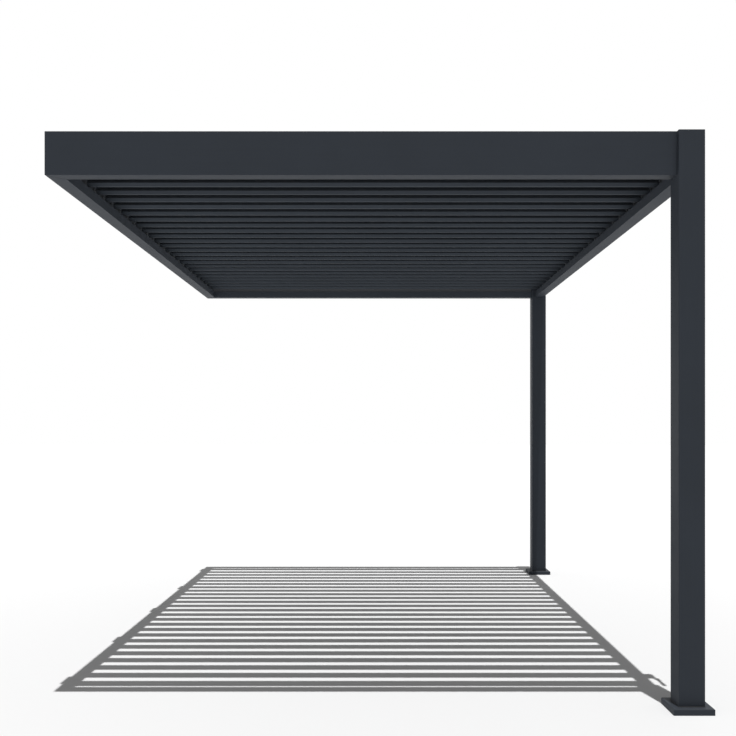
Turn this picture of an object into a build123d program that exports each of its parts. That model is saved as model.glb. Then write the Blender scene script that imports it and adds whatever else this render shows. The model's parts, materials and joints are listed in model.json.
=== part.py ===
"""Wall-mounted pergola with a roof of tilting louvres.

A rectangular ring of aluminium gutter beams is bolted to a wall along one side
and stands on two square posts along the other. Twenty-five louvre blades span
from the wall beam to the outer beam. Each turns on two pins in bearing rails,
and a drive bar joins their cranks, so that all of them tilt together. A hand
crank below a gear box on the outer beam turns the second blade, and with it
all the others.

Axes: +X leads away from the wall, +Y runs along it, +Z is up.
The origin is on the face that meets the wall, at the middle of the wall beam.
Lengths are millimetres and angles are degrees.
"""
from build123d import *
import math
import os

# Overall sizes
projection = 3002.0          # wall beam's outer face to the posts' outer face
frame_depth = 3977.0         # front beam's face to back beam's face
clear_height = 2446.0        # floor to the beams' underside
wall_gap = 17.0              # wall to the wall beam, filled by the brackets

# Gutter beam section
beam_height = 200.0
web_width = 30.0             # hollow upright part of the section
gutter_width = 45.0          # open channel on the inner side
gutter_lip = 50.0            # height of the channel's inner lip
beam_wall = 2.5
beam_edge = 1.5              # bevel along the outer edges

# Posts
post_size = 120.0
post_wall = 3.0
post_corner = 4.0            # outside corner radius
post_proud_front = 25.0      # how far a post stands out past the beam's face
post_proud_side = 20.0
cap_thickness = 3.0
notch_step = 1.0             # notch floor above the gutter lip

# Feet: a base plate for the anchors under a loose cover
plate_thickness = 10.0
anchor_hole = 7.0
anchor_spacing = 148.0
cover_size = 186.0
cover_height = 29.0
cover_wall = 3.0
cover_bevel = 3.0
cover_fit = 0.5              # cover to post, all round

# Wall brackets
bracket_count = 5
bracket_margin = 188.5       # frame's end to the middle of the last bracket
bracket_length = 120.0
bracket_height = 150.0
bracket_plate = 6.0
bracket_hole = 5.5
bracket_hole_spacing = 90.0

# Corner brackets inside the mitred corners
cleat_leg = 70.0
cleat_thickness = 4.0
cleat_height = 24.0

# Louvre blades
louvre_count = 25
first_margin = 119.0         # front beam's face to the first pivot
last_margin = 162.0          # last pivot to the back beam's face
louvre_overlap = 11.0        # one blade over the next when they lie flat
louvre_skin = 2.5
lip_clearance = 6.5          # a turning blade to the gutter lip below it
pivot_below_skin = 12.0      # pivot below the blade's top face
rest_tilt = 46.0             # tilt in the pose that is modelled
closed_clearance = 6.0       # lip of one blade above the next one's gutter
nose_width = 32.0            # rain gutter along the blade's low edge
nose_depth = 32.0            # its underside, below the pivot
nose_opening = 16.5          # open slot at its top
nose_bevel = 12.0
rib_offset = 60.0            # stiffening rib on the other side of the pivot
rib_depth = 6.0              # its lower edge, below the pivot
hub_width = 30.0             # screw channel at the pivot
hub_depth = 14.0             # its lower edge, below the pivot

# Pins, bearings and drive
pin_sides = 8                # small pins and bores that repeat are eight-sided
end_cap = 4.0
pin_radius = 6.0
pin_fit = 0.06               # radial clearance of a pin in its bearing
pin_tip_gap = 0.5            # pin's tip to the beam behind the bearing rail
rail_thickness = 5.0
rail_height = 36.0
rail_end_gap = 5.0           # rail's end to the corner bracket
blade_end_gap = 9.0          # blade's end to the outer bearing rail
bar_gap = 8.0                # bearing rail to the drive bar
bar_thickness = 6.0
bar_height = 18.0
bar_side_gap = 1.0           # drive bar to the blades' end caps
bar_overhang = 20.0          # bar's end past the last crank pin
crank_radius = 36.0
crank_lead = 45.0            # crank before upright when the louvres are shut
crank_pin_radius = 4.0
crank_fit = 0.06             # first crank pin in the bar
crank_play = 0.3             # the other crank pins in the bar
crank_ear = 9.0              # half width of the ear at a crank pin

# Gear box and hand crank on the outer beam
gear_louvre = 2              # the blade that the gear box turns
gear_box_depth = 44.0
gear_box_width = 74.0
gear_box_height = 105.0
gear_box_level = 75.0        # its underside above the beams' underside
gear_box_bevel = 6.0
worm_offset = 26.0           # crank's axis in front of the blade's axis
gear_box_offset = 11.0       # housing's middle in front of the blade's axis
shaft_depth = 24.0           # the blade's longer pin inside the gear box
shaft_clearance = 1.0        # that pin in the bores through the beam
crank_rod_radius = 5.0
crank_rod_offset = 27.0      # crank's axis out from the beam's face
crank_socket = 22.0          # depth of the rod's socket in the gear box
crank_collar_radius = 13.0
crank_collar_height = 9.0
crank_handle_level = 1840.0  # handle above the floor
crank_handle_length = 140.0
crank_handle_radius = 8.5

# Planes and levels that follow from the sizes above
beam_width = web_width + gutter_width
beam_top = beam_height / 2
beam_bottom = -beam_height / 2
floor_level = beam_bottom - clear_height
wall_beam_face = wall_gap
post_face = wall_gap + projection
outer_beam_face = post_face - post_proud_side
half_depth = frame_depth / 2
post_inner_x = post_face - post_size
post_outer_y = half_depth + post_proud_front
post_inner_y = post_outer_y - post_size
wall_web_x = wall_beam_face + web_width
outer_web_x = outer_beam_face - web_width
web_y = half_depth - web_width
rail_outer_x = outer_web_x - rail_thickness
bar_x = wall_web_x + rail_thickness + bar_gap
blade_start = bar_x + bar_thickness + bar_side_gap
blade_end = rail_outer_x - blade_end_gap
louvre_pitch = (frame_depth - first_margin - last_margin) / (louvre_count - 1)
half_chord = (louvre_pitch + louvre_overlap) / 2
swing_radius = math.hypot(half_chord, nose_depth - nose_bevel)
pivot_level = beam_bottom + gutter_lip + lip_clearance + swing_radius
louvre_places = [first_margin - half_depth + louvre_pitch * k for k in range(louvre_count)]
gear_y = louvre_places[gear_louvre - 1]
crank_x = outer_beam_face + crank_rod_offset
crank_y = gear_y - worm_offset
plate_size = cover_size - 2 * cover_wall


def box_between(low, high):
    """A box from its lowest corner to its highest corner."""
    size = [b - a for a, b in zip(low, high)]
    return Pos(*low) * Box(*size, align=(Align.MIN, Align.MIN, Align.MIN))


def inner_bevel(bevel, wall):
    """The bevel inside a corner that keeps the wall's thickness across it."""
    return bevel - (2 - math.sqrt(2)) * wall


def pin_shape(radius):
    """Pin outline whose corners lie on the given radius."""
    return RegularPolygon(radius, pin_sides)


def bore_shape(radius):
    """Bore outline whose sides touch the given radius."""
    return RegularPolygon(radius, pin_sides, major_radius=False)


def gutter_section():
    """Beam section: x from the outer face inwards, y up from the underside."""
    web = Pos(web_width / 2, beam_height / 2) * Rectangle(web_width, beam_height)
    web = chamfer(web.vertices().group_by(Axis.X)[0], beam_edge)
    hollow = Pos(web_width / 2, beam_height / 2) * Rectangle(
        web_width - 2 * beam_wall, beam_height - 2 * beam_wall)
    tray = Pos(web_width, 0) * Rectangle(
        gutter_width, beam_wall, align=(Align.MIN, Align.MIN))
    lip = Pos(beam_width - beam_wall, 0) * Rectangle(
        beam_wall, gutter_lip, align=(Align.MIN, Align.MIN))
    return web - hollow + tray + lip


def beam(start, direction, inward, length, outline):
    """A gutter beam from a point on its outer lower edge, cut to a plan outline."""
    plane = Plane(origin=start, x_dir=inward, z_dir=direction)
    section = plane * gutter_section()
    bar = extrude(section, length, dir=direction)
    cutter = Pos(0, 0, beam_bottom) * extrude(make_face(Polyline(outline, close=True)), beam_height)
    return bar & cutter


def wall_beam():
    """Beam along the wall, mitred at both ends."""
    inner = wall_beam_face + beam_width
    end = half_depth - beam_width
    outline = [(wall_beam_face, -half_depth), (inner, -end), (inner, end), (wall_beam_face, half_depth)]
    start = (wall_beam_face, half_depth, beam_bottom)
    return beam(start, (0, -1, 0), (1, 0, 0), frame_depth, outline)


def outer_beam():
    """Beam between the two posts."""
    inner = outer_beam_face - beam_width
    outline = [(inner, -post_inner_y), (outer_beam_face, -post_inner_y),
               (outer_beam_face, post_inner_y), (inner, post_inner_y)]
    start = (outer_beam_face, -post_inner_y, beam_bottom)
    bore = Pos(outer_web_x, gear_y, pivot_level) * extrude(
        Plane.YZ * Circle(pin_radius + shaft_clearance), web_width, dir=(1, 0, 0))
    return beam(start, (0, 1, 0), (-1, 0, 0), 2 * post_inner_y, outline) - bore


def cross_beam(side):
    """Front beam (side -1) or back beam (side 1), from a mitre to a post."""
    face = side * half_depth
    inner = side * (half_depth - beam_width)
    outline = [(wall_beam_face, face), (post_inner_x, face),
               (post_inner_x, inner), (wall_beam_face + beam_width, inner)]
    if side < 0:
        start, direction = (wall_beam_face, face, beam_bottom), (1, 0, 0)
    else:
        start, direction = (post_inner_x, face, beam_bottom), (-1, 0, 0)
    return beam(start, direction, (0, -side, 0), post_inner_x - wall_beam_face, outline)


def post(side):
    """Hollow square post whose head is notched where louvres and gutters meet."""
    centre_x = post_face - post_size / 2
    centre_y = side * (post_outer_y - post_size / 2)
    base = floor_level + plate_thickness
    top = beam_top - cap_thickness
    notch_floor = beam_bottom + gutter_lip + notch_step
    place = Pos(centre_x, centre_y)
    outer = place * RectangleRounded(post_size, post_size, post_corner)
    inner = place * Rectangle(post_size - 2 * post_wall, post_size - 2 * post_wall)
    notch_y = sorted((side * (post_inner_y - 1), side * web_y))
    notch = box_between((post_inner_x - 1, notch_y[0], notch_floor), (outer_web_x, notch_y[1], top + 1))
    lined_y = sorted((side * (post_inner_y - 1), side * (web_y + post_wall)))
    lining = box_between((post_inner_x - 1, lined_y[0], notch_floor - post_wall),
                         (outer_web_x + post_wall, lined_y[1], top + 1))
    solid = Pos(0, 0, base) * extrude(outer, top - base)
    hollow = Pos(0, 0, base) * extrude(inner, top - base)
    return solid - notch - (hollow - lining)


def post_cap(side):
    """Flat cap that closes the notched head of a post."""
    centre_x = post_face - post_size / 2
    centre_y = side * (post_outer_y - post_size / 2)
    plate = Pos(centre_x, centre_y, beam_top - cap_thickness) * extrude(
        RectangleRounded(post_size, post_size, post_corner), cap_thickness)
    notch_y = sorted((side * (post_inner_y - 1), side * web_y))
    return plate - box_between((post_inner_x - 1, notch_y[0], beam_bottom),
                               (outer_web_x, notch_y[1], beam_top + 1))


def base_plate(side):
    """Square plate under a post with four anchor holes."""
    centre_x = post_face - post_size / 2
    centre_y = side * (post_outer_y - post_size / 2)
    plate = extrude(Rectangle(plate_size, plate_size), plate_thickness)
    for place in GridLocations(anchor_spacing, anchor_spacing, 2, 2):
        plate -= extrude(place * Circle(anchor_hole), plate_thickness)
    return Pos(centre_x, centre_y, floor_level) * plate


def foot_cover(side):
    """Bevelled cover that hides the base plate and its anchors."""
    centre_x = post_face - post_size / 2
    centre_y = side * (post_outer_y - post_size / 2)
    opening = post_size + 2 * cover_fit
    shell = extrude(Rectangle(cover_size, cover_size), cover_height)
    shell = chamfer(shell.edges().group_by(Axis.Z)[-1], cover_bevel)
    room = extrude(Rectangle(plate_size, plate_size), cover_height - cover_wall)
    room = chamfer(room.edges().group_by(Axis.Z)[-1], inner_bevel(cover_bevel, cover_wall))
    cover = shell - room - extrude(Rectangle(opening, opening), cover_height)
    return Pos(centre_x, centre_y, floor_level) * cover


def wall_brackets():
    """Channel brackets that hold the wall beam off the wall."""
    profile = Plane.XZ * (
        Rectangle(wall_gap, bracket_height, align=(Align.MIN, Align.CENTER))
        - Pos(bracket_plate, 0) * Rectangle(wall_gap, bracket_height - 2 * bracket_plate,
                                            align=(Align.MIN, Align.CENTER)))
    channel = Pos(0, bracket_length / 2, 0) * extrude(profile, bracket_length, dir=(0, -1, 0))
    for place in GridLocations(1, bracket_hole_spacing, 1, 2):
        channel -= extrude(Plane.YZ * (place * Circle(bracket_hole)), bracket_plate, dir=(1, 0, 0))
    first = bracket_margin - half_depth
    pitch = -2 * first / (bracket_count - 1)
    return Compound([Pos(0, first + k * pitch, 0) * channel for k in range(bracket_count)])


def corner_brackets():
    """Angle cleats that join the webs inside the two mitred corners."""
    level = beam_top - cleat_height - beam_wall
    cleats = []
    for side in (-1, 1):
        y = sorted((side * web_y, side * (web_y - cleat_leg)))
        leg_y = sorted((side * web_y, side * (web_y - cleat_thickness)))
        along_wall = box_between((wall_web_x, y[0], level), (wall_web_x + cleat_thickness, y[1], level + cleat_height))
        across = box_between((wall_web_x, leg_y[0], level), (wall_web_x + cleat_leg, leg_y[1], level + cleat_height))
        cleats.append(along_wall + across)
    return Compound(cleats)


def bearing_rail(x):
    """Flat rail on a web's inner face with one bore for each louvre."""
    half = web_y - cleat_leg - rail_end_gap
    rail = box_between((x, -half, pivot_level - rail_height / 2),
                       (x + rail_thickness, half, pivot_level + rail_height / 2))
    bore = Plane.YZ * bore_shape(pin_radius + pin_fit)
    bores = [Pos(x, y, pivot_level) * extrude(bore, rail_thickness, dir=(1, 0, 0)) for y in louvre_places]
    return rail - bores


def blade_point(u, n):
    """Blade section point: u along the chord to the low edge, n down from the pivot."""
    return (u, -n)


def blade_section():
    """Single-skin louvre with a rain gutter at the low edge and ribs below."""
    top = -pivot_below_skin
    gutter_top = top + louvre_skin + closed_clearance
    slot = half_chord - nose_opening
    nose = half_chord - nose_width
    wall = half_chord - louvre_skin
    floor = nose_depth - louvre_skin
    bevel = inner_bevel(nose_bevel, louvre_skin)
    skin = make_face(Polyline([
        blade_point(-half_chord, top), blade_point(slot, top), blade_point(slot, top + louvre_skin),
        blade_point(nose + louvre_skin, top + louvre_skin), blade_point(nose + louvre_skin, floor),
        blade_point(wall - bevel, floor), blade_point(wall, floor - bevel),
        blade_point(wall, gutter_top), blade_point(half_chord, gutter_top),
        blade_point(half_chord, nose_depth - nose_bevel), blade_point(half_chord - nose_bevel, nose_depth),
        blade_point(nose, nose_depth), blade_point(nose, top + louvre_skin),
        blade_point(-half_chord, top + louvre_skin)], close=True))
    for u, depth in ((-rib_offset, rib_depth), (-hub_width / 2, hub_depth), (hub_width / 2, hub_depth)):
        skin += Pos(u, -top) * Rectangle(louvre_skin, depth - top, align=(Align.CENTER, Align.MAX))
    return skin


def cap_outline(with_crank):
    """End cap: covers the blade's section, with an ear for the crank pin."""
    top = -pivot_below_skin
    gutter_top = top + louvre_skin + closed_clearance
    slot = half_chord - nose_opening
    nose = half_chord - nose_width
    face = make_face(Polyline([
        blade_point(-half_chord, top), blade_point(slot, top), blade_point(slot, gutter_top),
        blade_point(half_chord, gutter_top), blade_point(half_chord, nose_depth - nose_bevel),
        blade_point(half_chord - nose_bevel, nose_depth), blade_point(nose, nose_depth),
        blade_point(nose, hub_depth), blade_point(-hub_width / 2, hub_depth),
        blade_point(-rib_offset, rib_depth), blade_point(-rib_offset, top + louvre_skin),
        blade_point(-half_chord, top + louvre_skin)], close=True))
    if with_crank:
        u, n = crank_place()
        root = top + louvre_skin
        face += make_face(Polyline([
            blade_point(u - 2 * crank_ear, root), blade_point(u - crank_ear, n),
            blade_point(u - crank_ear / 2, n - crank_ear), blade_point(u + crank_ear / 2, n - crank_ear),
            blade_point(u + crank_ear, n), blade_point(u + 2 * crank_ear, root)], close=True))
    return face


def crank_place():
    """Crank pin in the blade's section, before upright when the blade is flat."""
    lead = math.radians(crank_lead)
    return -crank_radius * math.sin(lead), -crank_radius * math.cos(lead)


def flat_louvre(outer_tip):
    """One louvre lying flat with its pivot on the X axis and its outer pin up to a tip."""
    across = Plane(origin=(0, 0, 0), x_dir=(0, 1, 0), z_dir=(1, 0, 0))
    blade_length = blade_end - blade_start - 2 * end_cap
    blade = Pos(blade_start + end_cap, 0, 0) * extrude(across * blade_section(), blade_length, dir=(1, 0, 0))
    wall_cap = Pos(blade_start, 0, 0) * extrude(across * cap_outline(True), end_cap, dir=(1, 0, 0))
    outer_cap = Pos(blade_end - end_cap, 0, 0) * extrude(across * cap_outline(False), end_cap, dir=(1, 0, 0))
    wall_tip = wall_web_x + pin_tip_gap
    pin = across * pin_shape(pin_radius)
    wall_pin = Pos(wall_tip, 0, 0) * extrude(pin, blade_start - wall_tip, dir=(1, 0, 0))
    outer_pin = Pos(blade_end, 0, 0) * extrude(pin, outer_tip - blade_end, dir=(1, 0, 0))
    u, n = crank_place()
    crank_pin = Pos(bar_x, 0, 0) * extrude(
        across * (Pos(u, -n) * pin_shape(crank_pin_radius)), blade_start - bar_x, dir=(1, 0, 0))
    return blade + wall_cap + outer_cap + wall_pin + outer_pin + crank_pin


def tilted(solid, y):
    """A louvre turned to the rest tilt and set on its pivot."""
    return Pos(0, y, pivot_level) * Rot(-rest_tilt, 0, 0) * solid


def drive_bar():
    """Flat bar over the crank pins, with more play in all but the first bore."""
    lead = math.radians(rest_tilt - crank_lead)
    shift = crank_radius * math.sin(lead)
    level = pivot_level + crank_radius * math.cos(lead)
    reach = bar_overhang + bar_height / 2
    first = louvre_places[0] + shift
    last = louvre_places[-1] + shift
    bar = box_between((bar_x, first - reach, level - bar_height / 2),
                      (bar_x + bar_thickness, last + reach, level + bar_height / 2))
    bores = []
    for k, y in enumerate(louvre_places):
        play = crank_fit if k == 0 else crank_play
        hole = Plane.YZ * bore_shape(crank_pin_radius + play)
        bores.append(Pos(bar_x, y + shift, level) * extrude(hole, bar_thickness, dir=(1, 0, 0)))
    return bar - bores


def gear_box():
    """Housing on the outer beam with bores for the blade's shaft and the crank."""
    level = beam_bottom + gear_box_level
    middle = gear_y - gear_box_offset
    housing = box_between((outer_beam_face, middle - gear_box_width / 2, level),
                          (outer_beam_face + gear_box_depth, middle + gear_box_width / 2,
                           level + gear_box_height))
    housing = chamfer(housing.faces().sort_by(Axis.X)[-1].edges(), gear_box_bevel)
    collar = Pos(crank_x, crank_y, level - crank_collar_height) * extrude(
        Circle(crank_collar_radius), crank_collar_height)
    shaft = Pos(outer_beam_face, gear_y, pivot_level) * extrude(
        Plane.YZ * Circle(pin_radius + pin_fit), shaft_depth, dir=(1, 0, 0))
    socket = Pos(crank_x, crank_y, level - crank_collar_height) * extrude(
        Circle(crank_rod_radius + pin_fit), crank_socket + crank_collar_height)
    return housing + collar - shaft - socket


def hand_crank():
    """Rod hanging from the gear box with a crossbar for the hands."""
    handle_level = floor_level + crank_handle_level
    tip = beam_bottom + gear_box_level + crank_socket - pin_tip_gap
    rod = Pos(crank_x, crank_y, handle_level) * extrude(Circle(crank_rod_radius), tip - handle_level)
    bar = Pos(crank_x, crank_y - crank_handle_length / 2, handle_level) * extrude(
        Plane.XZ * Circle(crank_handle_radius), crank_handle_length, dir=(0, 1, 0))
    bar = chamfer(bar.edges().filter_by(GeomType.CIRCLE), crank_handle_radius / 4)
    return rod + bar


def all_pieces():
    """Every piece by its name."""
    pieces = {
        "wall_beam": wall_beam(),
        "outer_beam": outer_beam(),
        "wall_brackets": wall_brackets(),
        "corner_brackets": corner_brackets(),
        "wall_bearing_rail": bearing_rail(wall_web_x),
        "outer_bearing_rail": bearing_rail(rail_outer_x),
        "drive_bar": drive_bar(),
        "gear_box": gear_box(),
        "hand_crank": hand_crank(),
    }
    for name, side in (("front", -1), ("back", 1)):
        pieces[f"{name}_beam"] = cross_beam(side)
        pieces[f"{name}_post"] = post(side)
        pieces[f"{name}_post_cap"] = post_cap(side)
        pieces[f"{name}_base_plate"] = base_plate(side)
        pieces[f"{name}_foot_cover"] = foot_cover(side)
    plain = flat_louvre(outer_web_x - pin_tip_gap)
    geared = flat_louvre(outer_beam_face + shaft_depth - pin_tip_gap)
    for k, y in enumerate(louvre_places, 1):
        pieces[f"louvre_{k:02d}"] = tilted(geared if k == gear_louvre else plain, y)
    return pieces


os.makedirs("parts", exist_ok=True)
for name, piece in all_pieces().items():
    export_step(piece, f"parts/{name}.step")
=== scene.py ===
# %% [markdown]
# # A louvred pergola, one cell at a time
#
# The construction already exists as a set of exact solids: beams, posts, feet, bearing rails,
# a gear box with its crank, and twenty-five louvres, each on its own pivot. This lesson
# dresses them. It gives every surface its finish, adds the screws, bushes and seals that a
# model of the structure leaves out, and sets up the floor, the light and the camera.

# %% Load the fixed frame
import json
import math

import bpy
import numpy as np
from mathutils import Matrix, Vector


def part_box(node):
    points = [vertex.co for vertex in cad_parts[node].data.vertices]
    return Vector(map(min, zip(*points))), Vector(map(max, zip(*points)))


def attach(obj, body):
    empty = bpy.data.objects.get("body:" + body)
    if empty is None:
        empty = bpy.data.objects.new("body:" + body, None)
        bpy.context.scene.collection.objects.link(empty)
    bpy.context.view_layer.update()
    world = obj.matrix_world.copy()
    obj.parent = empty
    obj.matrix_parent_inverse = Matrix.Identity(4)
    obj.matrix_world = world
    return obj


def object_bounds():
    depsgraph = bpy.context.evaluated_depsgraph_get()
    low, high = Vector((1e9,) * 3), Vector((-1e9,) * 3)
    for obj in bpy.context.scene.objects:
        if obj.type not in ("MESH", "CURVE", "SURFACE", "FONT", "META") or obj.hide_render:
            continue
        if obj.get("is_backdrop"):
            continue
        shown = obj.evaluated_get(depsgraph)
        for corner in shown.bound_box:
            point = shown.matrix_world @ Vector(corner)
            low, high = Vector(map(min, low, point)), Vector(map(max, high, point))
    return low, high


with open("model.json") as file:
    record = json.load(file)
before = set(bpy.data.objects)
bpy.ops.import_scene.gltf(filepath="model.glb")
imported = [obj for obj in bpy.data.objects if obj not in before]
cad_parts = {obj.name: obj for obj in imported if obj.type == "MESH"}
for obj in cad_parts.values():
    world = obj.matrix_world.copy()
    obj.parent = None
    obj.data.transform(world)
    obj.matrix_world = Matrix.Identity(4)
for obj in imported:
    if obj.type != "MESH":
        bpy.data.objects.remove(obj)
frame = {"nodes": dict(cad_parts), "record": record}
cad_low, cad_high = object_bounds()
nodes = frame["nodes"]
print("nodes", len(nodes), "box", [round(v, 4) for v in cad_high - cad_low])

# %% [markdown]
# ## Names for the measures we keep using
#
# Lengths are metres. +X leads from the wall beam to the outer beam, +Y runs along both from
# the front beam to the back beam, and +Z is up. Reading the places from the solids and from
# the joints, instead of typing them in again, keeps this file right if the structure changes.

# %% Measures read from the solids and the joints
floor_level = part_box("front_foot_cover")[0].z
beam_bottom, beam_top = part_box("front_beam")[0].z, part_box("front_beam")[1].z
front_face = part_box("front_beam")[0].y
wall_beam_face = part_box("wall_beam")[0].x
outer_beam_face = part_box("outer_beam")[1].x
joint_place = {j["name"]: j["pos_m"] for j in frame["record"]["behaviour"]["joints"]}
louvre_names = sorted(name for name in nodes if name.startswith("louvre"))
pivot_y = np.array([joint_place[name + "_tilt"][1] for name in louvre_names])
pivot_z = joint_place["louvre_01_tilt"][2]
louvre_pitch = float(pivot_y[1] - pivot_y[0])
rest_tilt = math.radians(46)
wall_rail, outer_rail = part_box("wall_bearing_rail"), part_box("outer_bearing_rail")
print("louvres", len(louvre_names), "pitch", round(louvre_pitch, 4))

# %% [markdown]
# ## A small kit for shader nodes
#
# Several finishes share the same effects. A node group is built once, gets named inputs and
# outputs, and is then placed in each material with its own values, like a function call.
# Nodes can be wired one link at a time. Here an input takes either a plain value or the
# output of an earlier node, so that a chain of nodes reads like a formula.

# %% Values and links
def feed(tree, value, socket):
    """Links an earlier node's output to the socket, or fills the socket with a plain value."""
    if isinstance(value, bpy.types.NodeSocket):
        tree.links.new(value, socket)
    else:
        socket.default_value = value


def feed_named(tree, node, **values):
    """Feeds the inputs that the values are named after, with _ for each space."""
    for key, value in values.items():
        feed(tree, value, node.inputs[key.replace("_", " ")])


def add_node(tree, kind, *values, **settings):
    """Adds a node. The values feed its first inputs in order. A setting named after an input
    feeds that one, and any other setting is a property of the node."""
    node = tree.nodes.new(kind)
    for key, value in settings.items():
        if key.replace("_", " ") in node.inputs:
            feed_named(tree, node, **{key: value})
        else:
            setattr(node, key, value)
    for value, socket in zip(values, node.inputs):
        feed(tree, value, socket)
    return node


# %% Groups
a_color, a_number, a_vector = "NodeSocketColor", "NodeSocketFloat", "NodeSocketVector"


def new_group(name, inputs, outputs):
    """A shader group with (kind, name, default) inputs and (kind, name) outputs. It comes with
    the sockets that bring the inputs in, and with the node that takes the outputs."""
    group = bpy.data.node_groups.new(name, "ShaderNodeTree")
    for kind, label, value in inputs:
        socket = group.interface.new_socket(name=label, in_out="INPUT", socket_type=kind)
        socket.default_value = value
    for kind, label in outputs:
        group.interface.new_socket(name=label, in_out="OUTPUT", socket_type=kind)
    given = group.nodes.new("NodeGroupInput").outputs
    return group, given, group.nodes.new("NodeGroupOutput")


def place_group(tree, group, **values):
    """Places a group in a material, feeds its inputs and hands on its outputs."""
    node = tree.nodes.new("ShaderNodeGroup")
    node.node_tree = group
    feed_named(tree, node, **values)
    return node.outputs


# %% Arithmetic
def math_node(tree, operation, *values):
    """One step of arithmetic on plain numbers and outputs."""
    return add_node(tree, "ShaderNodeMath", *values, operation=operation).outputs[0]


def product(tree, result, *factors):
    """All the values multiplied."""
    for factor in factors:
        result = math_node(tree, "MULTIPLY", result, factor)
    return result


def ramp(tree, value, low, high, start=0.0, end=1.0):
    """Goes from start to end while the value goes from low to high, and stays level beyond."""
    return add_node(tree, "ShaderNodeMapRange", value, low, high, start, end).outputs["Result"]


# %% Patterns and colours
def noise(tree, place, scale, detail, roughness):
    """Soft blotches around one half, about so many to the metre, under finer and finer ones."""
    return add_node(tree, "ShaderNodeTexNoise", Vector=place, Scale=scale, Detail=detail,
                    Roughness=roughness).outputs["Fac"]


def own_place(tree):
    """A point's place in its object."""
    return add_node(tree, "ShaderNodeTexCoord").outputs["Object"]


def own_parts(tree, what="Object"):
    """X, Y and Z of a point's place in its object, or of its normal when what is "Normal"."""
    whole = add_node(tree, "ShaderNodeTexCoord").outputs[what]
    return add_node(tree, "ShaderNodeSeparateXYZ", whole).outputs


def mix_colors(tree, share, first, second):
    """first * (1 - share) + second * share. A Mix node keeps its colours at inputs 6 and 7."""
    node = add_node(tree, "ShaderNodeMix", share, data_type="RGBA")
    feed(tree, first, node.inputs[6])
    feed(tree, second, node.inputs[7])
    return node.outputs[2]


def brightened(tree, color, factor):
    """The colour with its brightness multiplied by a factor."""
    return add_node(tree, "ShaderNodeHueSaturation", Color=color, Value=factor).outputs["Color"]


print("kit for node trees ready")

# %% [markdown]
# ## Powder coat
#
# The aluminium is sprayed with dry powder and baked. The result is matt, with a very fine
# pebbled skin and a tone that drifts a little from place to place. Beneath it the profile
# still shows faint lines along its length, left by the die that it was pressed through.
# Three layers of noise make this: a broad one shifts the tone, a fine one drives a shallow
# bump, and one stretched along the profile gives the die lines.

# %% Powder coat grain as a group
plain_color = (0.03, 0.035, 0.045, 1)
noise_low, noise_high = 0.3, 0.7  # nearly all of a noise's values lie between these
broad_scale, pebble_scale, die_scale = 2.3, 420.0, 90.0
pebble_depth, die_depth = 0.0004, 0.0003
die_share, roughness_share = 0.35, 0.05


def powder_grain_group():
    """With s = broad noise, spread over -1 to 1, plus die noise, spread over -die_share to
    die_share: the colour is base * (1 + drift * s) and the roughness is its base plus
    roughness_share * s. The normal is bumped by the die lines and then by the pebbles."""
    group, given, leave = new_group(
        "powder_grain",
        [(a_color, "Base", plain_color), (a_number, "Drift", 0.08), (a_number, "Roughness", 0.5),
         (a_number, "Pebble", 0.1), (a_number, "Lines", 0.1),
         (a_vector, "Stretch", (1.0, 1.0, 1.0))],
        [(a_color, "Color"), (a_number, "Roughness"), (a_vector, "Normal")])
    place = own_place(group)
    drawn_out = add_node(group, "ShaderNodeVectorMath", place, given["Stretch"],
                         operation="MULTIPLY").outputs[0]
    broad = noise(group, place, broad_scale, detail=4.0, roughness=0.6)
    pebbles = noise(group, place, pebble_scale, detail=2.0, roughness=0.5)
    die = noise(group, drawn_out, die_scale, detail=3.0, roughness=0.6)
    shift = math_node(group, "ADD", ramp(group, broad, noise_low, noise_high, -1.0, 1.0),
                      ramp(group, die, noise_low, noise_high, -die_share, die_share))
    factor = math_node(group, "MULTIPLY_ADD", shift, given["Drift"], 1.0)
    rough = math_node(group, "MULTIPLY_ADD", shift, roughness_share, given["Roughness"])
    lined = add_node(group, "ShaderNodeBump", Strength=given["Lines"], Distance=die_depth,
                     Height=die)
    pebbled = add_node(group, "ShaderNodeBump", Strength=given["Pebble"], Distance=pebble_depth,
                       Height=pebbles, Normal=lined.outputs["Normal"])
    feed_named(group, leave, Color=brightened(group, given["Base"], factor), Roughness=rough,
               Normal=pebbled.outputs["Normal"])
    return group


powder_grain = powder_grain_group()
print("group", powder_grain.name, "sockets", len(powder_grain.interface.items_tree))

# %% [markdown]
# ## Dust that settles
#
# Outdoors a little pale dust stays wherever a surface looks up, in patches that rain has
# shaped. The mask asks how far the surface's own normal points up, and multiplies that by
# blotchy noise. Each finish then mixes in as much of the dust colour as it wants.

# %% Settled dust as a group
dust_color = (0.19, 0.18, 0.165, 1)
dust_from_upward = 0.35  # upward part of the normal at which dust begins to stay
patch_scale, patch_low, patch_high, patch_least = 7.0, 0.38, 0.68, 0.15


def settled_dust_group():
    """Mixes the dust in by a ramp over the normal's upward part, times noise, times amount."""
    group, given, leave = new_group(
        "settled_dust",
        [(a_color, "Clean", plain_color), (a_color, "Dust", dust_color), (a_number, "Amount", 0.3)],
        [(a_color, "Color"), (a_number, "Mask")])
    facing_up = ramp(group, own_parts(group, "Normal")["Z"], dust_from_upward, 1.0)
    blotch = noise(group, own_place(group), patch_scale, detail=6.0, roughness=0.65)
    patch = ramp(group, blotch, patch_low, patch_high, patch_least, 1.0)
    mask = product(group, facing_up, patch, given["Amount"])
    dusty = mix_colors(group, mask, given["Clean"], given["Dust"])
    feed_named(group, leave, Color=dusty, Mask=mask)
    return group


settled_dust = settled_dust_group()
print("group", settled_dust.name)

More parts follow.
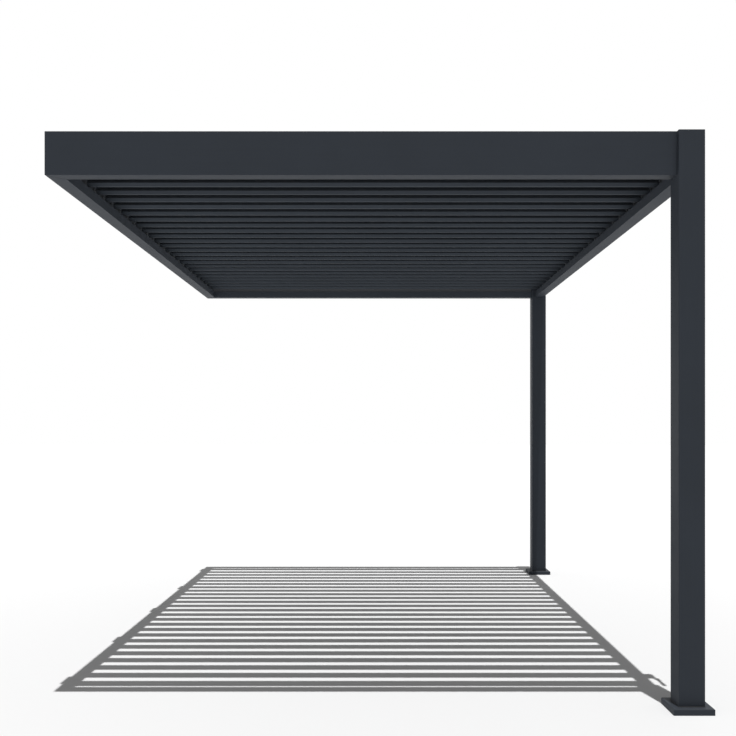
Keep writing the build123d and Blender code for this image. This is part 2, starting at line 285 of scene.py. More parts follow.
# %% [markdown]
# ## Silt and painted fill light in the gutters
#
# Rain washes dust off the louvres into the channels, where it dries as a pale film that thins
# out up the web behind. The same pale film also stands in for light that the channels' shade
# keeps out, so it is painted fill light as well as silt. Three ramps multiplied give the mask.
# One asks how far a point is from the middle line of the nearer of two channels, one how high
# it is above their floor, and the last keeps the pale film off the underside.

# %% Where the channels run
beam_wall = 0.0025
channel_low = wall_rail[0].x
channel_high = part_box("wall_beam")[1].x - beam_wall
channel_offset = (channel_low + channel_high) / 2 - wall_beam_face
channel_half = (channel_high - channel_low) / 2
print("channel", round(2 * channel_half, 4), "wide,", round(channel_offset, 4), "from the face")

# %% Gutter silt and painted fill light as a group
# The pale film is partly silt and partly painted fill light for the channels' shade.
silt_and_fill_light_color = (0.165, 0.170, 0.178, 1)
silt_and_fill_ends, silt_and_fill_full = 0.06, -0.02  # heights between which the film thickens
edge_start, edge_end = 0.0007, 0.0017  # beyond the channel's half width
skin_start, skin_end = 0.0005, 0.0015  # above the underside


def gutter_silt_and_fill_light_group():
    """Mixes the pale film, silt and painted fill light, in by a ramp over min(|c - First|, |c -
    Second|) times two over the height.
    """
    group, given, leave = new_group(
        "gutter_silt",
        [(a_color, "Clean", plain_color), (a_color, "Silt", silt_and_fill_light_color),
         (a_number, "Coordinate", 0.0), (a_number, "First", 0.0), (a_number, "Second", 0.0),
         (a_number, "Height", 0.0), (a_number, "Amount", 0.4)],
        [(a_color, "Color"), (a_number, "Mask")])
    away = [math_node(group, "ABSOLUTE", math_node(group, "SUBTRACT", given["Coordinate"], line))
            for line in (given["First"], given["Second"])]
    nearer = math_node(group, "MINIMUM", *away)
    inside = ramp(group, nearer, channel_half + edge_end, channel_half + edge_start)
    low = ramp(group, given["Height"], silt_and_fill_ends, silt_and_fill_full)
    above = ramp(group, given["Height"], beam_bottom + skin_start, beam_bottom + skin_end)
    mask = product(group, low, above, inside, given["Amount"])
    silted_and_lit = mix_colors(group, mask, given["Clean"], given["Silt"])
    feed_named(group, leave, Color=silted_and_lit, Mask=mask)
    return group


gutter_silt = gutter_silt_and_fill_light_group()
print("group", gutter_silt.name)

# %% [markdown]
# ## Rain streaks on the louvres
#
# Rain runs down each blade's top face to the gutter along its low edge, and leaves streaks
# that thicken on the way. Blades from different coating batches also differ a little in
# tone. Both need to know which blade a point is on and how far down it lies, and the point's
# own coordinates tell that: at rest no two blades share the same stretch of Y.

# %% Rain streaks as a group
streaks_per_metre = (26.0, 3.7, 3.0)
streak_low, streak_high, streak_least = 0.4, 0.65, 0.25
blade_top, blade_foot, top_share = -0.07, 0.066, 0.1  # depths, and the share left at the top
wet_from_upward, wet_full_upward = 0.35, 0.7
batch_shift = 0.05


def blade_and_depth(group):
    """The blade's number, 1 + round(d / pitch) with d = y - first pivot, and how far down it a
    point lies: (d - pitch * round(d / pitch)) cos t - (z - pivot) sin t. X comes along."""
    x, y, z = own_parts(group)
    from_first = math_node(group, "SUBTRACT", y, float(pivot_y[0]))
    index = math_node(group, "ROUND", math_node(group, "DIVIDE", from_first, louvre_pitch))
    across = math_node(group, "SUBTRACT", from_first, product(group, index, louvre_pitch))
    rise = math_node(group, "SUBTRACT", z, pivot_z)
    depth = math_node(group, "SUBTRACT", product(group, across, math.cos(rest_tilt)),
                      product(group, rise, math.sin(rest_tilt)))
    return x, math_node(group, "ADD", index, 1.0), depth


def rain_streaks_group():
    """The mask is a ramp over the depth, times noise of (x, number, depth), times the normal's
    upward part, times amount. White noise of the number shifts the tone by batch_shift."""
    group, given, leave = new_group(
        "rain_streaks",
        [(a_color, "Clean", plain_color), (a_color, "Dust", dust_color), (a_number, "Amount", 0.3)],
        [(a_color, "Color"), (a_number, "Mask")])
    x, number, depth = blade_and_depth(group)
    spot = add_node(group, "ShaderNodeCombineXYZ", x, number, depth).outputs[0]
    drawn_out = add_node(group, "ShaderNodeVectorMath", spot, streaks_per_metre,
                         operation="MULTIPLY").outputs[0]
    blotch = noise(group, drawn_out, 1.0, detail=5.0, roughness=0.6)
    streak = ramp(group, blotch, streak_low, streak_high, streak_least, 1.0)
    thicker = ramp(group, depth, blade_top, blade_foot, top_share, 1.0)
    upward = own_parts(group, "Normal")["Z"]
    facing_up = ramp(group, upward, wet_from_upward, wet_full_upward)
    mask = product(group, streak, thicker, facing_up, given["Amount"])
    batch = add_node(group, "ShaderNodeTexWhiteNoise", noise_dimensions="1D", W=number)
    shift = ramp(group, batch.outputs["Value"], 0.0, 1.0, 1 - batch_shift, 1 + batch_shift)
    clean = brightened(group, given["Clean"], shift)
    streaked = mix_colors(group, mask, clean, given["Dust"])
    feed_named(group, leave, Color=streaked, Mask=mask)
    return group


rain_streaks = rain_streaks_group()
print("group", rain_streaks.name)

# %% [markdown]
# ## One function, one coat for each direction
#
# The same coat goes on every profile, but the die lines follow the profile: along X on the
# louvres and the front and back beams, along Y on the wall and outer beams, along Z on the
# posts. A small number on one axis of the stretch draws the noise out along that axis.

# %% The coat
coat_color = (0.0330, 0.0393, 0.0495, 1)
# Lighter than coat_color, though the louvres wear the same paint: painted light for the floor's
# bounce on their undersides.
louvre_lifted_color = (0.0430, 0.0508, 0.0618, 1)
coat_roughness, louvre_roughness, cast_roughness = 0.62, 0.7, 0.6
coat_specular, louvre_specular = 0.14, 0.07
tone_drift = 0.07
silt_and_fill_light_amount, streak_amount = 0.40, 0.10


def new_finish(name, **inputs):
    """A new material with its node tree and its Principled shader, filled with plain values."""
    material = bpy.data.materials.new(name)
    material.use_nodes = True
    shader = material.node_tree.nodes["Principled BSDF"]
    feed_named(material.node_tree, shader, **inputs)
    return material, material.node_tree, shader


def powder_coat(name, stretch, color=coat_color, roughness=coat_roughness,
                specular=coat_specular, pebble=0.12, lines=0.08, dust=0.1, channels=None,
                streaks=0.0):
    """Matt coat: grain group, then dust group, into one Principled shader. A gutter beam adds
    silt and painted fill light in its channels, given as the axis across them and their two
    middle lines, and a louvre adds rain streaks."""
    material, tree, shader = new_finish(name, Specular_IOR_Level=specular)
    grain = place_group(tree, powder_grain, Base=color, Drift=tone_drift, Roughness=roughness,
                        Pebble=pebble, Lines=lines, Stretch=stretch)
    top = place_group(tree, settled_dust, Clean=grain["Color"], Amount=dust)
    if channels:
        axis, first, second = channels
        # Silt and painted fill light in the channels.
        place = own_parts(tree)
        top = place_group(tree, gutter_silt, Clean=top["Color"], Coordinate=place[axis],
                          First=first, Second=second, Height=place["Z"], Amount=silt_and_fill_light_amount)
    if streaks:
        top = place_group(tree, rain_streaks, Clean=top["Color"], Amount=streaks)
    feed_named(tree, shader, Base_Color=top["Color"], Roughness=grain["Roughness"],
               Normal=grain["Normal"])
    return material


# %% A coat for each kind of profile
along_x, along_y, along_z = (0.02, 1.0, 1.0), (1.0, 0.02, 1.0), (1.0, 1.0, 0.02)
every_way = (1.0, 1.0, 1.0)
across_channel = -front_face - channel_offset
cross_beam_coat = powder_coat("cross_beam_coat", along_x,
                              channels=("Y", -across_channel, across_channel))
long_beam_coat = powder_coat("long_beam_coat", along_y,
                             channels=("X", wall_beam_face + channel_offset,
                                       outer_beam_face - channel_offset))
cover_coat = powder_coat("cover_coat", along_x)
post_coat = powder_coat("post_coat", along_z)
# The louvres get the lighter colour, painted light for the bounce under them.
louvre_coat = powder_coat("louvre_coat", along_x, color=louvre_lifted_color,
                          roughness=louvre_roughness, specular=louvre_specular, dust=0.0,
                          streaks=streak_amount)
cast_coat = powder_coat("cast_coat", every_way, roughness=cast_roughness, pebble=0.35, lines=0.0)
print("coats", [m.name for m in bpy.data.materials if m.name.endswith("coat")])

# %% [markdown]
# ## Bare metal, nylon and rubber
#
# The hidden parts aren't sprayed. Brackets and base plates are plain aluminium with the
# lines of the rolling mill, rails and drive bar are anodised dark, screws are zinc plated,
# bushes are nylon and seals are rubber. All reuse the grain group with other values.

# %% Bare finishes
def bare_finish(name, color, roughness, drift, pebble, lines=0.0, stretch=every_way, **inputs):
    """The grain group into a Principled shader, with no dust."""
    material, tree, shader = new_finish(name, **inputs)
    grain = place_group(tree, powder_grain, Base=color, Drift=drift, Roughness=roughness,
                        Pebble=pebble, Lines=lines, Stretch=stretch)
    feed_named(tree, shader, Base_Color=grain["Color"], Roughness=grain["Roughness"],
               Normal=grain["Normal"])
    return material


def metal(name, color, roughness, drift, lines, stretch=every_way):
    """A metallic finish, drawn along one direction."""
    return bare_finish(name, color, roughness, drift, pebble=0.03, lines=lines, stretch=stretch,
                       Metallic=1.0)


def plastic(name, color, roughness, pebble):
    """A dark finish with a soft highlight and no lines."""
    return bare_finish(name, color, roughness, drift=0.15, pebble=pebble,
                       Specular_IOR_Level=0.35)


# %% Metals, nylon and rubber
mill_metal = metal("mill_metal", (0.52, 0.53, 0.54, 1), roughness=0.42, drift=0.10, lines=0.25,
                   stretch=along_y)
dark_anodised = metal("dark_anodised", (0.050, 0.053, 0.060, 1), roughness=0.45, drift=0.12,
                      lines=0.18, stretch=along_y)
crank_metal = metal("crank_metal", (0.30, 0.31, 0.32, 1), roughness=0.34, drift=0.08,
                    lines=0.12, stretch=along_z)
zinc_steel = metal("zinc_steel", (0.50, 0.49, 0.45, 1), roughness=0.36, drift=0.16, lines=0.05)
nylon = plastic("nylon", (0.025, 0.025, 0.026, 1), roughness=0.45, pebble=0.05)
rubber = plastic("rubber", (0.012, 0.012, 0.013, 1), roughness=0.75, pebble=0.2)
print("materials", len(bpy.data.materials))

# %% [markdown]
# ## Dressing the solids
#
# Each solid arrives bare and gets one finish. A table of names would be long, because most
# solids are either louvres or plain covers. So the table holds only the others.

# %% Dress the solids
finish_of = {
    "wall_beam": long_beam_coat, "outer_beam": long_beam_coat,
    "front_beam": cross_beam_coat, "back_beam": cross_beam_coat,
    "front_post": post_coat, "back_post": post_coat,
    "gear_box": cast_coat, "hand_crank": crank_metal,
    "wall_brackets": mill_metal, "corner_brackets": mill_metal,
    "front_base_plate": mill_metal, "back_base_plate": mill_metal,
    "wall_bearing_rail": dark_anodised, "outer_bearing_rail": dark_anodised,
    "drive_bar": dark_anodised,
}
for name, node in nodes.items():
    coat = louvre_coat if name.startswith("louvre") else finish_of.get(name, cover_coat)
    node.data.materials.clear()
    node.data.materials.append(coat)
print("dressed", len(nodes))

# %% [markdown]
# ## Small parts as arrays
#
# A screw head, a bush and a grip are all turned on a lathe: a profile of radius and height,
# carried round an axis. Writing the points as one array lets a single line of numpy place a
# shape a hundred times. Each shape stays small, because it is repeated so often.

# %% Grids of quads and the lathe
def quad_grid(rows, count, closed):
    """Quads from point (k, j) to (k + 1, j), (k + 1, j + 1) and (k, j + 1), where (k, j) is
    point k * count + j. The rows close round, and so do the columns when closed is true."""
    k, j = np.meshgrid(np.arange(rows), np.arange(count if closed else count - 1), indexing="ij")
    k_next, j_next = (k + 1) % rows, (j + 1) % count
    corners = [k * count + j, k_next * count + j, k_next * count + j_next, k * count + j_next]
    return np.stack(corners, axis=-1).reshape(-1, 4).tolist()


def flat_ends(rows, count):
    """The faces that close such a grid at its first and its last column."""
    k = np.arange(rows)
    return [(k[::-1] * count).tolist(), (k * count + count - 1).tolist()]


def lathe(profile, sides, ring=False):
    """Point (k, j): radius r_j at angle 2 pi k / sides, height h_j. A ring closes its profile,
    running up outside and down inside; otherwise flat caps close the two ends."""
    radius, height = np.array(profile, float).T
    angle = 2 * np.pi * np.arange(sides) / sides
    points = np.stack([np.outer(np.cos(angle), radius), np.outer(np.sin(angle), radius),
                       np.broadcast_to(height, (sides, len(height)))], axis=-1).reshape(-1, 3)
    ends = [] if ring else flat_ends(sides, len(height))
    return points, quad_grid(sides, len(height), ring) + ends


# %% Turning, repeating and joining shapes
facing = {
    "+x": np.array([[0, 0, 1], [1, 0, 0], [0, 1, 0]]),
    "-x": np.array([[0, 0, -1], [0, -1, 0], [-1, 0, 0]]),
    "+y": np.array([[0, 1, 0], [0, 0, 1], [1, 0, 0]]),
    "-y": np.array([[1, 0, 0], [0, 0, -1], [0, 1, 0]]),
    "+z": np.eye(3),
    "-z": np.array([[1, 0, 0], [0, -1, 0], [0, 0, -1]]),
}


def repeated(shape, direction, places):
    """The shape's own +Z turned to a direction, and one copy set at each place."""
    points, faces = shape
    places = np.atleast_2d(places)
    turned = points @ facing[direction].T
    copies = (turned[None, :, :] + places[:, None, :]).reshape(-1, 3)
    moved = [[v + k * len(points) for v in face] for k in range(len(places)) for face in faces]
    return copies, moved


def together(*shapes):
    """Several shapes as one: the points in a row, and the faces counted on."""
    points, faces, start = [], [], 0
    for some_points, some_faces in shapes:
        points.append(some_points)
        faces += [[v + start for v in face] for face in some_faces]
        start += len(some_points)
    return np.concatenate(points), faces


def make_piece(name, shape, material, body, smooth=0.0):
    """A mesh object from points and faces; edges flatter than the smooth angle are rounded."""
    points, faces = shape
    mesh = bpy.data.meshes.new(name)
    mesh.from_pydata(points.tolist(), [], faces)
    mesh.materials.append(material)
    piece = bpy.data.objects.new(name, mesh)
    bpy.context.scene.collection.objects.link(piece)
    if smooth:
        mesh.polygons.foreach_set("use_smooth", [True] * len(mesh.polygons))
        mesh.set_sharp_from_angle(angle=math.radians(smooth))
    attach(piece, body)
    return piece


# %% Shapes of the fasteners
washer_height = 0.0020
pan_head = lathe([(0.0038, 0), (0.0038, 0.0008), (0.0030, 0.0017), (0.0014, 0.0020)], sides=10)
washer = lathe([(0.0110, 0), (0.0110, washer_height), (0.0052, washer_height), (0.0052, 0)],
               sides=20, ring=True)
hex_head = lathe([(0.0094, 0), (0.0094, 0.0052), (0.0084, 0.0062)], sides=6)
print("faces: pan head", len(pan_head[1]), "washer", len(washer[1]), "hex head", len(hex_head[1]))

# %% [markdown]
# ## Screws and seals on each louvre
#
# Screws through the end caps go into channels of the blade's section. They tilt with the
# louvre, so each louvre gets its own piece and rides on its own body. A blade point is given
# as in its section: u along the chord towards the low edge, n down from the pivot. A turn by
# the rest tilt puts it in place.

# %% From a blade's section to its place
half_chord, lip_top = 0.0825, -0.0035  # u of the low edge, n of its gutter's lip
blade_skin = 0.0025
wall_end_gap, outer_end_gap = 0.015, 0.009
wall_cap_x, outer_cap_x = wall_rail[1].x + wall_end_gap, outer_rail[0].x - outer_end_gap
crank_radius, crank_lead = 0.036, math.radians(45)
crank_u, crank_n = -crank_radius * math.sin(crank_lead), -crank_radius * math.cos(crank_lead)


def on_blade(x, u, n, y):
    """(x, u, n) on the blade pivoted at y: y + u cos t - n sin t, z = pivot - u sin t - n cos t."""
    x, u, n = np.broadcast_arrays(x, u, n)
    return np.stack([x, y + u * math.cos(rest_tilt) - n * math.sin(rest_tilt),
                     pivot_z - u * math.sin(rest_tilt) - n * math.cos(rest_tilt)], axis=-1)


print("end caps at", round(wall_cap_x, 4), round(outer_cap_x, 4))

# %% Cap screws, crank clips and spacers of every louvre
screw_u = np.array([-0.0105, 0.0105, half_chord - 0.013])
screw_n = np.array([0.0085, 0.0085, 0.022])
clip_gap = 0.0078  # the rail to the clip, just short of the drive bar
bush_room = 0.002  # the bush's flange and a little air
crank_clip = lathe([(0.0068, 0), (0.0068, 0.0014), (0.0042, 0.0014), (0.0042, 0)],
                   sides=10, ring=True)
spacer = lathe([(0.0082, 0), (0.0082, 1.0), (0.0061, 1.0), (0.0061, 0)], sides=10, ring=True)


def long_spacer(length):
    """The spacer's ring drawn out along its axis."""
    points, faces = spacer
    return points * np.array([1, 1, length]), faces


for name, y in zip(louvre_names, pivot_y):
    screws = together(
        repeated(pan_head, "-x", on_blade(wall_cap_x, screw_u, screw_n, y)),
        repeated(pan_head, "+x", on_blade(outer_cap_x, screw_u, screw_n, y)),
        repeated(crank_clip, "-x", on_blade(wall_rail[1].x + clip_gap, crank_u, crank_n, y)))
    make_piece(name + "_screws", screws, zinc_steel, name)
    sleeves = together(
        repeated(long_spacer(wall_end_gap - bush_room), "-x", (wall_cap_x, y, pivot_z)),
        repeated(long_spacer(outer_end_gap - bush_room), "+x", (outer_cap_x, y, pivot_z)))
    make_piece(name + "_spacers", sleeves, nylon, name)
print("louvre fixings", 2 * len(louvre_names))

# %% [markdown]
# The rain seal is a rubber bead pressed on to the lip of each blade's gutter. The next blade
# lies down on it when the roof is shut. It is a profile carried along a straight path.

# %% Rain seals
def drawn_bar(profile, start, end, across, up):
    """Profile points (a, b) carried from start to end: start or end + a * across + b * up."""
    a, b = np.array(profile, float).T
    rim = a[:, None] * np.array(across) + b[:, None] * np.array(up)
    points = np.concatenate([rim + np.array(start), rim + np.array(end)])
    n = len(a)
    j = np.arange(n)
    j_next = (j + 1) % n
    faces = np.stack([j, j_next, j_next + n, j + n], axis=-1).tolist()
    return points, faces + [j[::-1].tolist(), (j + n).tolist()]


bead_half, bead_rise, bead_foot, bead_root = 0.0021, 0.0019, 0.0004, -0.0030
seal_inset = 0.0045
seal_middle = half_chord - blade_skin / 2
blade_across = (0, math.cos(rest_tilt), -math.sin(rest_tilt))
blade_up = (0, math.sin(rest_tilt), math.cos(rest_tilt))
arc = np.linspace(0, np.pi, 6)
bead = np.column_stack([bead_half * np.cos(arc), bead_foot + bead_rise * np.sin(arc)])
bead = np.vstack([[bead_half, bead_root], bead, [-bead_half, bead_root]])
for name, y in zip(louvre_names, pivot_y):
    start, end = (on_blade(x, seal_middle, lip_top, y)
                  for x in (wall_cap_x + seal_inset, outer_cap_x - seal_inset))
    seal = drawn_bar(bead, start, end, blade_across, blade_up)
    make_piece(name + "_seal", seal, rubber, name)
print("rain seals", len(louvre_names))

# %% [markdown]
# ## Bushes and screws on the bearing rails
#
# Each pin turns in a nylon bush with a flange against the rail. Between the bushes, screws
# hold the rail to the beam. All of these belong to the fixed frame, so a whole row can be one
# piece, set out along the pivots that the joints give.

# %% Bushes
bush = lathe([(0.0100, 0), (0.0100, 0.0010), (0.0092, 0.0014), (0.0084, 0.0014), (0.0084, 0)],
             sides=14, ring=True)


def along_rail(y):
    """Points (0, y, pivot level), ready to be moved out to a rail."""
    return np.column_stack([np.zeros_like(y), y, np.full_like(y, pivot_z)])


on_wall_rail, on_outer_rail = [wall_rail[1].x, 0, 0], [outer_rail[0].x, 0, 0]
row = along_rail(pivot_y)
make_piece("wall_rail_bushes", repeated(bush, "+x", row + on_wall_rail), nylon, "frame")
make_piece("outer_rail_bushes", repeated(bush, "-x", row + on_outer_rail), nylon, "frame")
print("bushes", 2 * len(pivot_y))

# %% Rail screws
half_way = (pivot_y[:-1] + pivot_y[1:])[::2] / 2
row = along_rail(half_way)
make_piece("wall_rail_screws", repeated(pan_head, "+x", row + on_wall_rail), zinc_steel, "frame")
make_piece("outer_rail_screws", repeated(pan_head, "-x", row + on_outer_rail), zinc_steel, "frame")
print("rail screws", 2 * len(half_way))

# %% [markdown]
# ## Bolts
#
# Two anchors hold each wall bracket, two bolts each leg of the corner brackets, and four
# anchors each base plate, under the foot cover. A head, a washer and the end of a stud are
# each turned once and set at all their places.

# %% Wall anchors
bracket_reach, bracket_count = 1.8, 5
hole_rise, bracket_plate = 0.045, 0.006
bracket_y = np.linspace(-bracket_reach, bracket_reach, bracket_count)
anchor_y, anchor_z = (v.ravel() for v in np.meshgrid(bracket_y, [-hole_rise, hole_rise]))
anchor_row = np.column_stack([np.full_like(anchor_y, bracket_plate), anchor_y, anchor_z])
shank = lathe([(0.0050, 0), (0.0050, 0.0056)], sides=14)
anchors = together(repeated(washer, "+x", anchor_row),
                   repeated(hex_head, "+x", anchor_row + [washer_height, 0, 0]),
                   repeated(shank, "-x", anchor_row))
make_piece("wall_anchor_bolts", anchors, zinc_steel, "frame", smooth=40)
print("wall anchors", len(anchor_row))

# %% Corner bracket bolts
cleat_low, cleat_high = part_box("corner_brackets")
cleat_thickness = 0.004
cleat_z = (cleat_low.z + cleat_high.z) / 2
small_head = lathe([(0.0058, 0), (0.0058, 0.0032), (0.0050, 0.0040)], sides=6)
reach = np.array([0.028, 0.055])
cleat_corners = (("front", cleat_low.y, 1, "+y"), ("back", cleat_high.y, -1, "-y"))
for side, corner_y, inward, way in cleat_corners:
    on_wall_leg = [(cleat_low.x + cleat_thickness, corner_y + inward * r, cleat_z) for r in reach]
    on_cross_leg = [(cleat_low.x + r, corner_y + inward * cleat_thickness, cleat_z) for r in reach]
    bolts = together(repeated(small_head, "+x", on_wall_leg),
                     repeated(small_head, way, on_cross_leg))
    make_piece(side + "_corner_bolts", bolts, zinc_steel, "frame")
print("corner bolts", 4 * len(reach))

# %% Ground anchors
half_spacing = 0.074
stud = lathe([(0.0058, 0), (0.0058, 0.0120), (0.0050, 0.0132)], sides=14)
for side in ("front", "back"):
    low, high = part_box(side + "_base_plate")
    x, y = (low.x + high.x) / 2, (low.y + high.y) / 2
    spots = np.array([(x + a, y + b, high.z) for a in (-half_spacing, half_spacing)
                      for b in (-half_spacing, half_spacing)])
    ground = together(repeated(washer, "+z", spots),
                      repeated(hex_head, "+z", spots + [0, 0, washer_height]),
                      repeated(stud, "+z", spots))
    make_piece(side + "_ground_anchors", ground, zinc_steel, "frame", smooth=40)
    print(side, "ground anchors", len(spots))

# %% [markdown]
# ## Seal round each post
#
# Where the loose foot cover meets the post, a thin rubber strip keeps water out. Its path is
# a square with rounded corners, and its small section is carried round that closed path.

# %% Post seals
def quarter_arcs(steps=5):
    """(cos, sin) along four quarter turns, counter-clockwise, and the signs of the corner
    that each point belongs to."""
    angle = np.concatenate([np.linspace(q, q + 0.5, steps) for q in (0, 0.5, 1.0, 1.5)]) * np.pi
    sign = np.repeat(np.array([[1, 1], [-1, 1], [-1, -1], [1, -1]]), steps, axis=0)
    return np.column_stack([np.cos(angle), np.sin(angle)]), sign


def carried_round(path, outward, profile):
    """Closed tube: point (s, t) = path(s) + a(t) * outward(s) + b(t) * up."""
    a, b = np.array(profile, float).T
    up = np.array([0, 0, 1.0])
    points = path[:, None, :] + a[None, :, None] * outward[:, None, :] + b[None, :, None] * up
    return points.reshape(-1, 3), quad_grid(len(path), len(a), True)


def rounded_square(half, radius, level):
    """Quarter arcs at the four corners: corner centre + radius * (cos, sin)."""
    turn, sign = quarter_arcs()
    outward = np.column_stack([turn, np.zeros(len(turn))])
    corner = np.column_stack([sign * (half - radius), np.full(len(sign), level)])
    return corner + radius * outward, outward


strip = [(0.0, 0.0), (0.0026, 0.0), (0.0022, 0.0014), (0.0, 0.0030)]
strip_gap, strip_corner = 0.0002, 0.0042
for side in ("front", "back"):
    low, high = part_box(side + "_post_cap")
    cover_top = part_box(side + "_foot_cover")[1].z
    path, outward = rounded_square((high.x - low.x) / 2 + strip_gap, strip_corner, cover_top)
    path = path + [(low.x + high.x) / 2, (low.y + high.y) / 2, 0]
    strip_round = carried_round(path, outward, strip)
    make_piece(side + "_post_seal", strip_round, rubber, "frame", smooth=30)
print("post seals with", len(path), "rows")

# %% [markdown]
# A post's cap is held by screws near its corners. The fourth corner stays free, because the
# beams' notch lies under it.

# %% Screws on the post caps
cap_screw_inset = 0.010
for side, sign in (("front", -1), ("back", 1)):
    low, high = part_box(side + "_post_cap")
    x, y = (low.x + high.x) / 2, (low.y + high.y) / 2
    half = (high.x - low.x) / 2 - cap_screw_inset
    spots = [(x + half, y - half, high.z), (x + half, y + half, high.z),
             (x - half, y + sign * half, high.z)]
    make_piece(side + "_cap_screws", repeated(pan_head, "+z", spots), zinc_steel, "frame")
    print(side, "cap screws", len(spots))

# %% [markdown]
# ## Gear box lid and crank grips
#
# The gear box opens on its outer side. Its lid is a stack of the same rounded outline, a
# little smaller at the top, so that the edge is bevelled. The crank's crossbar has ribbed
# rubber grips, and a rubber cuff closes the socket.

# %% Gear box lid
gear_low, gear_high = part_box("gear_box")
housing_height, lid_margin, lid_corner = 0.105, 0.010, 0.006
lid_height, screw_inset = 0.0021, 0.007
lid_half_y = (gear_high.y - gear_low.y) / 2 - lid_margin
lid_half_z = housing_height / 2 - lid_margin
lid_y, lid_z = (gear_low.y + gear_high.y) / 2, gear_high.z - housing_height / 2


def stacked_outline(half_a, half_b, radius, levels):
    """Rings of a rounded rectangle, each (inset, height), joined by quads and closed flat."""
    turn, sign = quarter_arcs()
    corner = sign * np.array([half_a - radius, half_b - radius])
    inset, height = np.array(levels, float).T
    flat = corner[:, None, :] + (radius - inset)[None, :, None] * turn[:, None, :]
    points = np.dstack([flat, np.broadcast_to(height, flat.shape[:2])]).reshape(-1, 3)
    rows, count = len(turn), len(height)
    return points, quad_grid(rows, count, False) + flat_ends(rows, count)


lid = stacked_outline(lid_half_y, lid_half_z, lid_corner,
                      [(0, -0.0005), (0, 0.0014), (0.0007, lid_height)])
lid_shape = repeated(lid, "+x", (gear_high.x, lid_y, lid_z))
lid_piece = make_piece("gear_box_lid", lid_shape, cast_coat, "frame", smooth=30)
lid_spots = [(gear_high.x + lid_height, lid_y + a * (lid_half_y - screw_inset),
              lid_z + b * (lid_half_z - screw_inset)) for a in (-1, 1) for b in (-1, 1)]
make_piece("gear_box_screws", repeated(pan_head, "+x", lid_spots), zinc_steel, "frame")
print("lid", [round(2 * v, 4) for v in (lid_half_y, lid_half_z)])

# %% Crank grips and cuff
crank_x, crank_y, socket_z = joint_place["hand_crank_turn"]
bar_radius, grip_inner, grip_start, grip_length = 0.0085, 0.0088, 0.0225, 0.0455
rib_count, rib_base, rib_rise = 25, 0.0104, 0.0007
cuff_gap = 0.0006
handle_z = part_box("hand_crank")[0].z + bar_radius
ribs = np.arange(rib_count)
grip_height = grip_length * ribs / ribs[-1]
grip_radius = rib_base + rib_rise * (ribs % 4 // 2)
grip = [(grip_inner, 0.0)] + list(zip(grip_radius, grip_height)) + [(grip_inner, grip_length)]
grip_shape = lathe(grip, sides=20, ring=True)
for direction, sign, word in (("+y", 1, "back"), ("-y", -1, "front")):
    grip_piece = repeated(grip_shape, direction, (crank_x, crank_y + sign * grip_start, handle_z))
    make_piece("crank_grip_" + word, grip_piece, rubber, "hand_crank", smooth=50)
cuff = lathe([(0.0105, 0), (0.0105, 0.002), (0.0078, 0.012), (0.0053, 0.012), (0.0053, 0)],
             sides=20, ring=True)
cuff_piece = repeated(cuff, "-z", (crank_x, crank_y, gear_low.z - cuff_gap))
make_piece("crank_cuff", cuff_piece, rubber, "hand_crank", smooth=40)
print("crank at", [round(v, 3) for v in (crank_x, crank_y, socket_z)])

# %% [markdown]
# ## Mitre joints
#
# At both ends of the wall beam the beams meet at 45 degrees. Sealant fills the joint and
# shows as a thin dark line on the top and the underside. A texture could draw the line, but a
# small bar laid along the diagonal catches the light as a real bead does.

# %% Sealant in the mitre joints
beam_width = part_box("wall_beam")[1].x - wall_beam_face
seam = [(-0.0006, -0.0004), (0.0006, -0.0004), (0.0003, 0.0003), (-0.0003, 0.0003)]
held_back = 0.02  # share of the diagonal that stays free at the outer corner
for side, sign in (("front", 1), ("back", -1)):
    corner = np.array([wall_beam_face, sign * front_face, 0.0])
    inner = corner + [beam_width, sign * beam_width, 0]
    outer = corner + (inner - corner) * held_back
    over = np.array([1, -sign, 0]) / math.sqrt(2)
    lines = [drawn_bar(seam, outer + [0, 0, level], inner + [0, 0, level], -up * over, (0, 0, up))
             for level, up in ((beam_top, 1), (beam_bottom, -1))]
    make_piece(side + "_mitre_sealant", together(*lines), rubber, "frame")
print("mitre joints at", round(wall_beam_face, 3), round(front_face, 3))

# %% [markdown]
# ## Floor
#
# The floor takes the stripes of shade. It is pale near the object and turns to pure white far
# away, so that no horizon shows. An image could fade it too, but the distance to one point,
# worked out in the material, fades evenly on every side.

# %% Floor
floor_near, floor_far = (0.86, 0.86, 0.86, 1), (0.96, 0.96, 0.96, 1)
fade_centre = ((cad_low.x + cad_high.x) / 2, front_face, floor_level)
fade_start, fade_end = 0.5, 8.5
floor_reach = 60.0


def flat_sheet(name, reach, level):
    """Square grid: x and y run over -reach to reach, z stays level."""
    u, v = np.meshgrid(np.linspace(-reach, reach, 2), np.linspace(-reach, reach, 2))
    points = np.column_stack([u.ravel(), v.ravel(), np.full(u.size, level)])
    mesh = bpy.data.meshes.new(name)
    mesh.from_pydata(points.tolist(), [], [(0, 1, 3, 2)])
    sheet = bpy.data.objects.new(name, mesh)
    bpy.context.scene.collection.objects.link(sheet)
    return sheet


floor = flat_sheet("floor", floor_reach, floor_level)
floor_finish, floor_tree, floor_shader = new_finish("floor_finish", Roughness=0.9,
                                                    Specular_IOR_Level=0.0)
away = add_node(floor_tree, "ShaderNodeVectorMath", own_place(floor_tree), fade_centre,
                operation="DISTANCE").outputs["Value"]
fade = ramp(floor_tree, away, fade_start, fade_end)
faded = mix_colors(floor_tree, fade, floor_near, floor_far)
feed_named(floor_tree, floor_shader, Base_Color=faded)
floor.data.materials.append(floor_finish)
floor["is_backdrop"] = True
print("floor at", round(floor_level, 3))

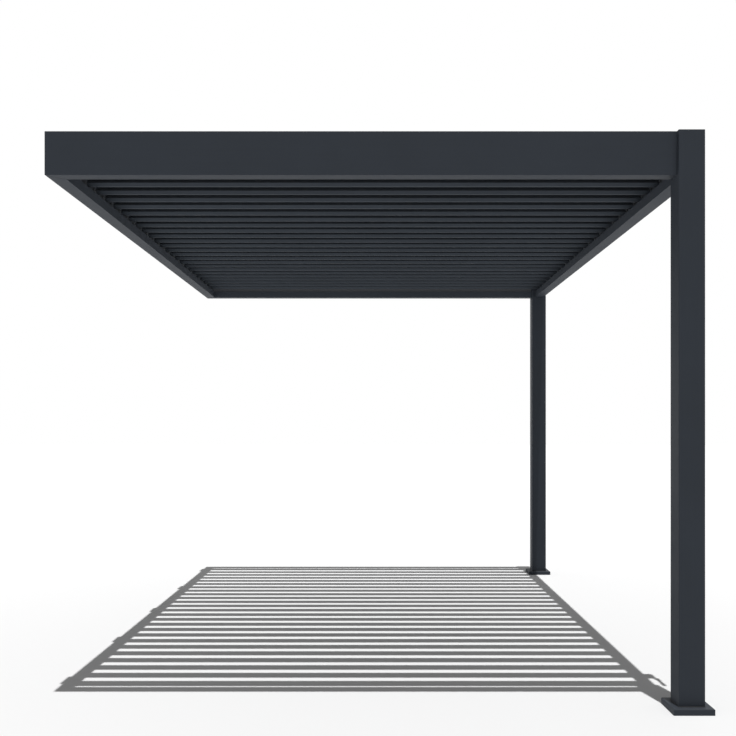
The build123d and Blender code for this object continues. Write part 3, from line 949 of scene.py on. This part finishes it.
# %% [markdown]
# ## Sun and sky
#
# The sun stands almost overhead, so the louvres rule the floor with stripes. A sky that is
# seen white by the camera, and is much dimmer as a light, fills the shadows. The Light Path
# node tells the two apart, and mirrors and glass count as seeing.

# %% Sun
sun_path = (-0.0278, 0.129, -1.0)
sun_strength, sun_width = 2.79, math.radians(0.4)
lamp = bpy.data.lights.new("sun", "SUN")
lamp.energy = sun_strength
lamp.angle = sun_width
sun = bpy.data.objects.new("sun", lamp)
bpy.context.scene.collection.objects.link(sun)
sun.rotation_mode = "QUATERNION"
sun.rotation_quaternion = Vector(sun_path).to_track_quat("-Z", "Y")
print("sun", sun_path)

# %% Sky
sky_strength = 0.245
white = (1, 1, 1, 1)
world = bpy.data.worlds.new("sky")
bpy.context.scene.world = world
world.use_nodes = True
sky_tree = world.node_tree
sky_light = sky_tree.nodes["Background"]
feed_named(sky_tree, sky_light, Color=white, Strength=sky_strength)
sky_seen = add_node(sky_tree, "ShaderNodeBackground", Color=white, Strength=1.0)
ray = add_node(sky_tree, "ShaderNodeLightPath").outputs
mirrored = math_node(sky_tree, "MAXIMUM", ray["Is Glossy Ray"], ray["Is Transmission Ray"])
looked_at = math_node(sky_tree, "MAXIMUM", ray["Is Camera Ray"], mirrored)
pick = add_node(sky_tree, "ShaderNodeMixShader", looked_at, sky_light.outputs[0],
                sky_seen.outputs[0])
feed_named(sky_tree, sky_tree.nodes["World Output"], Surface=pick.outputs[0])
print("sky", sky_strength)

# %% [markdown]
# ## Camera
#
# The picture is a one-point perspective: the camera looks straight along +Y without tilting,
# so upright edges stay parallel, and a lens shift puts the eye line where the picture has it.

# %% Camera
eye_height = 1.296
eye_from_wall_beam = 1.518
eye_before_face = 4.146
frame_pixels = 736
focal_pixels = 910.0
vanishing_pixel = (377.7, 427.4)

eye = bpy.data.cameras.new("eye")
eye.sensor_width = 36.0
eye.lens = focal_pixels / frame_pixels * eye.sensor_width
eye.shift_x = (frame_pixels / 2 - vanishing_pixel[0]) / frame_pixels
eye.shift_y = (vanishing_pixel[1] - frame_pixels / 2) / frame_pixels
eye.clip_end = 300.0
camera = bpy.data.objects.new("eye", eye)
bpy.context.scene.collection.objects.link(camera)
camera.location = (wall_beam_face + eye_from_wall_beam, front_face - eye_before_face,
                   floor_level + eye_height)
camera.rotation_euler = (math.radians(90), 0, 0)
bpy.context.scene.camera = camera
bpy.context.scene.view_settings.view_transform = "Standard"
print("camera at", [round(v, 3) for v in camera.location])

# %% [markdown]
# ## Sizes
#
# The box of the bare solids is printed when they are loaded, and the box of the dressed object
# is printed here, so that a piece which sticks out too far is easy to find.

# %% Print the dressed object's size
low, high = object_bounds()
print("visual box", [round(v, 4) for v in high - low])
